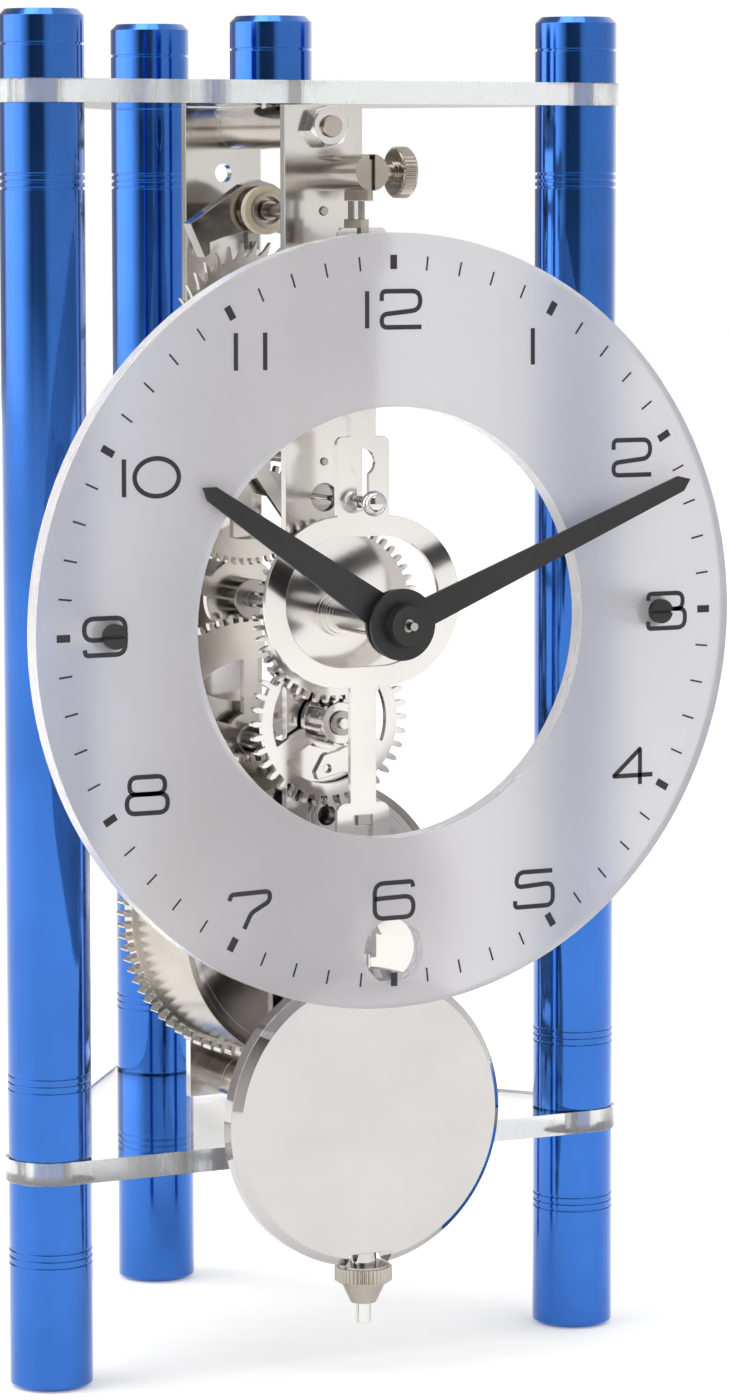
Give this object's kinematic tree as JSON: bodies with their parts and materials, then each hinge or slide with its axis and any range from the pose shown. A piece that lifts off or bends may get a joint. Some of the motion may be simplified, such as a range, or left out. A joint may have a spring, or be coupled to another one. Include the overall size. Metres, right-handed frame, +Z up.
{
  "type": "skeleton clock",
  "caption": "Skeleton mantel clock with a frosted ring dial, blue grooved pillars, clear acrylic plates and a nickel pendulum movement",
  "frame": {"origin": "Middle of the footprint box, on the surface that the feet stand on", "axes": "+X to the right of the dial, +Y to the back, +Z up; every wheel turns about an axis along Y"},
  "size_m": [0.11, 0.0944, 0.1962],
  "materials": {
    "clear_acrylic": "clear cast acrylic, sawn edges",
    "blue_anodised": "satin blue anodised",
    "frosted_acrylic": "frosted acrylic, clear edge",
    "nickel": "polished nickel plate",
    "polished_steel": "mirror polished steel",
    "steel": "bright turned steel",
    "dark_metal": "satin anthracite",
    "cream_plastic": "cream plastic"
  },
  "bodies": {
    "frame": {"back_movement_plate": "nickel", "back_pillar": "blue_anodised", "base_screw": "steel", "bottom_plate": "clear_acrylic", "bottom_spacer": "nickel", "click_rivet": "nickel", "click_spring": "nickel", "dial": "frosted_acrylic", "dial_screws": "dark_metal", "dial_spacers": "nickel", "front_movement_plate": "nickel", "left_pillar": "blue_anodised", "minute_wheel_clip": "steel", "minute_wheel_post": "nickel", "movement_cap": "blue_anodised", "movement_stud": "steel", "pillar_caps": "blue_anodised", "pillar_feet": "blue_anodised", "right_pillar": "blue_anodised", "spacer_nuts": "nickel", "suspension_post": "nickel", "suspension_top_block": "nickel", "top_plate": "clear_acrylic", "top_spacer": "nickel"},
    "barrel": {"barrel_drum": "nickel", "great_wheel": "nickel", "barrel_cover": "nickel", "mainspring": "steel"},
    "winding_arbor": {"barrel_arbor": "polished_steel", "ratchet_wheel": "polished_steel"},
    "click_body": {"click": "nickel"},
    "second": {"second_arbor": "steel", "second_wheel": "nickel"},
    "centre": {"centre_arbor": "steel", "centre_wheel": "nickel", "cannon_pinion": "nickel", "minute_hand": "dark_metal", "hand_nut": "dark_metal"},
    "third": {"third_arbor": "steel", "third_wheel": "nickel"},
    "escape": {"escape_arbor": "steel", "escape_wheel": "nickel"},
    "minute_work": {"minute_wheel": "nickel"},
    "hour_work": {"hour_wheel": "nickel", "hour_hand": "dark_metal"},
    "anchor_body": {"anchor_arbor": "steel", "anchor": "polished_steel", "anchor_bush": "cream_plastic", "anchor_collar": "nickel", "crutch": "polished_steel"},
    "pendulum": {"pendulum_leader": "nickel", "pendulum_rod": "nickel", "suspension_low_block": "nickel", "suspension_spring": "steel", "suspension_pin": "steel"},
    "bob": {"pendulum_bob": "polished_steel"},
    "nut": {"rating_nut": "polished_steel"},
    "thumbscrew": {"suspension_thumbscrew": "polished_steel"}
  },
  "joints": [
    {"name": "centre_turn", "type": "hinge", "parent": "frame", "child": "centre", "pos_m": [0, -0.018, 0.11], "axis": [0, 1, 0], "continuous": true},
    {"name": "second_turn", "type": "hinge", "parent": "frame", "child": "second", "pos_m": [0, -0.001, 0.0888], "axis": [0, 1, 0], "continuous": true},
    {"name": "barrel_turn", "type": "hinge", "parent": "frame", "child": "barrel", "pos_m": [0, -0.006, 0.0643], "axis": [0, 1, 0], "continuous": true},
    {"name": "third_turn", "type": "hinge", "parent": "frame", "child": "third", "pos_m": [0, -0.001, 0.1318], "axis": [0, 1, 0], "continuous": true},
    {"name": "escape_turn", "type": "hinge", "parent": "frame", "child": "escape", "pos_m": [0, -0.001, 0.1496], "axis": [0, 1, 0], "continuous": true},
    {"name": "minute_wheel_turn", "type": "hinge", "parent": "frame", "child": "minute_work", "pos_m": [0, -0.021, 0.0942], "axis": [0, 1, 0], "continuous": true},
    {"name": "hour_turn", "type": "hinge", "parent": "frame", "child": "hour_work", "pos_m": [0, -0.03, 0.11], "axis": [0, 1, 0], "continuous": true},
    {"name": "winding_turn", "type": "hinge", "parent": "frame", "child": "winding_arbor", "pos_m": [0, -0.006, 0.0643], "axis": [0, 1, 0], "continuous": true},
    {"name": "click_lift", "type": "hinge", "parent": "frame", "child": "click_body", "pos_m": [0, -0.0191, 0.0802], "axis": [0, 1, 0], "range_deg": [-12, 0]},
    {"name": "pendulum_swing", "type": "hinge", "parent": "frame", "child": "pendulum", "pos_m": [0, -0.03, 0.1679], "axis": [0, 1, 0], "range_deg": [-2.2, 2.2]},
    {"name": "anchor_rock", "type": "hinge", "parent": "frame", "child": "anchor_body", "pos_m": [0, -0.001, 0.1679], "axis": [0, 1, 0], "range_deg": [-2.2, 2.2]},
    {"name": "rating_nut_turn", "type": "hinge", "parent": "bob", "child": "nut", "pos_m": [0, -0.03095, 0.0147], "axis": [0, 0, 1], "range_deg": [-1081, 1081]},
    {"name": "bob_slide", "type": "slide", "parent": "pendulum", "child": "bob", "axis": [0, 0, 1], "range_m": [-0.00135, 0.00135]},
    {"name": "thumbscrew_turn", "type": "hinge", "parent": "frame", "child": "thumbscrew", "pos_m": [0.004, -0.03, 0.1734], "axis": [1, 0, 0], "range_deg": [0, 720]}
  ],
  "couplings": [
    {"joint": "second_turn", "follows": "centre_turn", "ratio": -0.14286},
    {"joint": "barrel_turn", "follows": "centre_turn", "ratio": 0.0125},
    {"joint": "third_turn", "follows": "centre_turn", "ratio": -12},
    {"joint": "escape_turn", "follows": "centre_turn", "ratio": 132},
    {"joint": "minute_wheel_turn", "follows": "centre_turn", "ratio": -0.33333},
    {"joint": "hour_turn", "follows": "centre_turn", "ratio": 0.083333},
    {"joint": "anchor_rock", "follows": "pendulum_swing", "ratio": 1},
    {"joint": "rating_nut_turn", "follows": "bob_slide", "rad_per_m": 13963}
  ]
}
